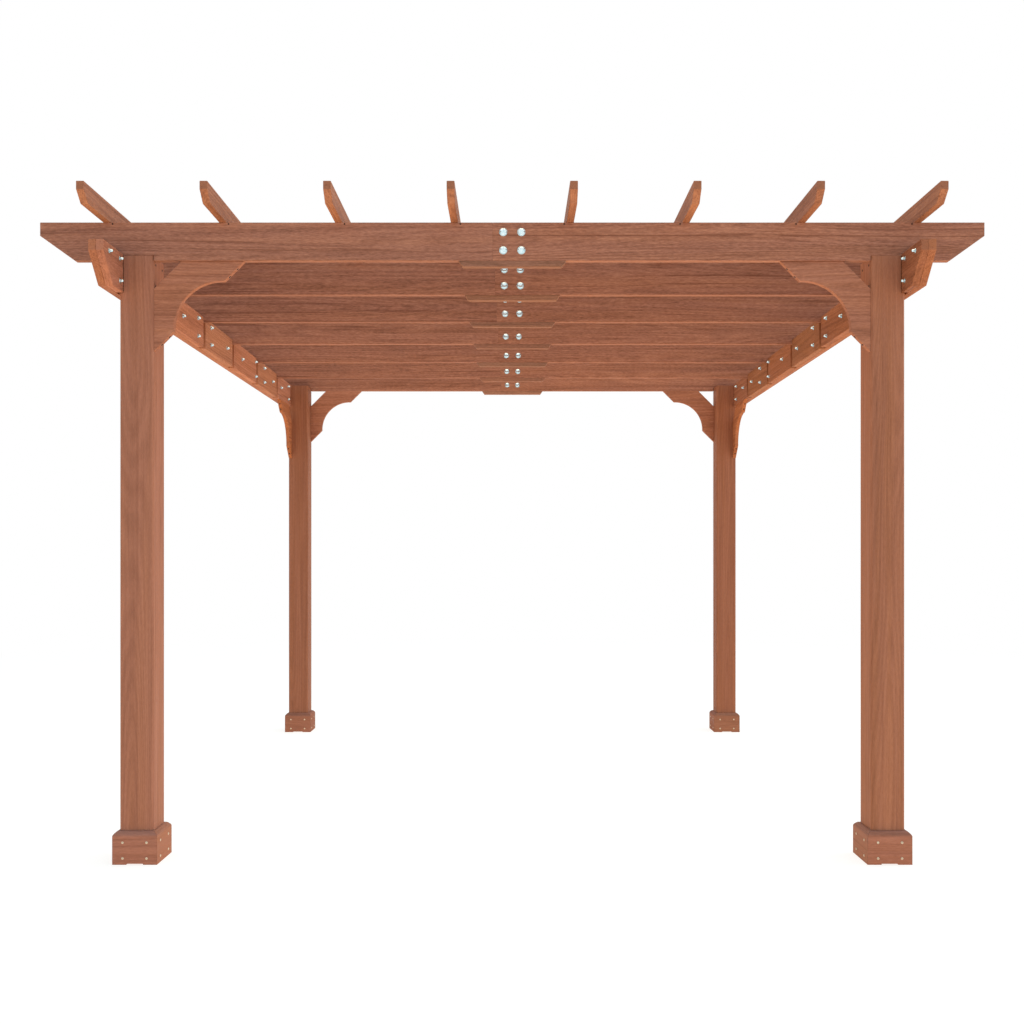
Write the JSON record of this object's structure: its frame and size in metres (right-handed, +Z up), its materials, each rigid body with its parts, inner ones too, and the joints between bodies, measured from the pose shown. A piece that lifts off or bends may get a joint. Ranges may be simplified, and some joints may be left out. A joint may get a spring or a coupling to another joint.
{
  "type": "wooden pergola",
  "caption": "Open wooden pergola on square posts with base trim, scalloped knee braces, doubled side beams, notched and lapped rafters and cross battens.",
  "frame": {"origin": "on the ground, in the middle of the four posts", "axes": "+X along the rafters to the right, +Y along the side beams to the back, +Z up"},
  "size_m": [3.6, 3.6, 2.512],
  "materials": {
    "post_cedar": "stained, satin",
    "board_cedar": "stained, satin",
    "trim_cedar": "stained, satin",
    "zinc_hardware": "bright zinc"
  },
  "bodies": {
    "root": {"front_left_post": "post_cedar", "front_right_post": "post_cedar", "back_left_post": "post_cedar", "back_right_post": "post_cedar", "front_left_base_trim": "trim_cedar", "front_right_base_trim": "trim_cedar", "back_left_base_trim": "trim_cedar", "back_right_base_trim": "trim_cedar", "left_side_beam": "board_cedar", "right_side_beam": "board_cedar", "left_beam_blocks": "board_cedar", "right_beam_blocks": "board_cedar", "front_rafter": "board_cedar", "rafter_2": "board_cedar", "rafter_3": "board_cedar", "rafter_4": "board_cedar", "rafter_5": "board_cedar", "rafter_6": "board_cedar", "back_rafter": "board_cedar", "splice_blocks": "board_cedar", "front_left_cross_brace": "board_cedar", "front_right_cross_brace": "board_cedar", "back_left_cross_brace": "board_cedar", "back_right_cross_brace": "board_cedar", "front_left_side_brace": "board_cedar", "front_right_side_brace": "board_cedar", "back_left_side_brace": "board_cedar", "back_right_side_brace": "board_cedar", "batten_1": "board_cedar", "batten_2": "board_cedar", "batten_3": "board_cedar", "batten_4": "board_cedar", "batten_5": "board_cedar", "batten_6": "board_cedar", "batten_7": "board_cedar", "batten_8": "board_cedar"}
  },
  "joints": []
}
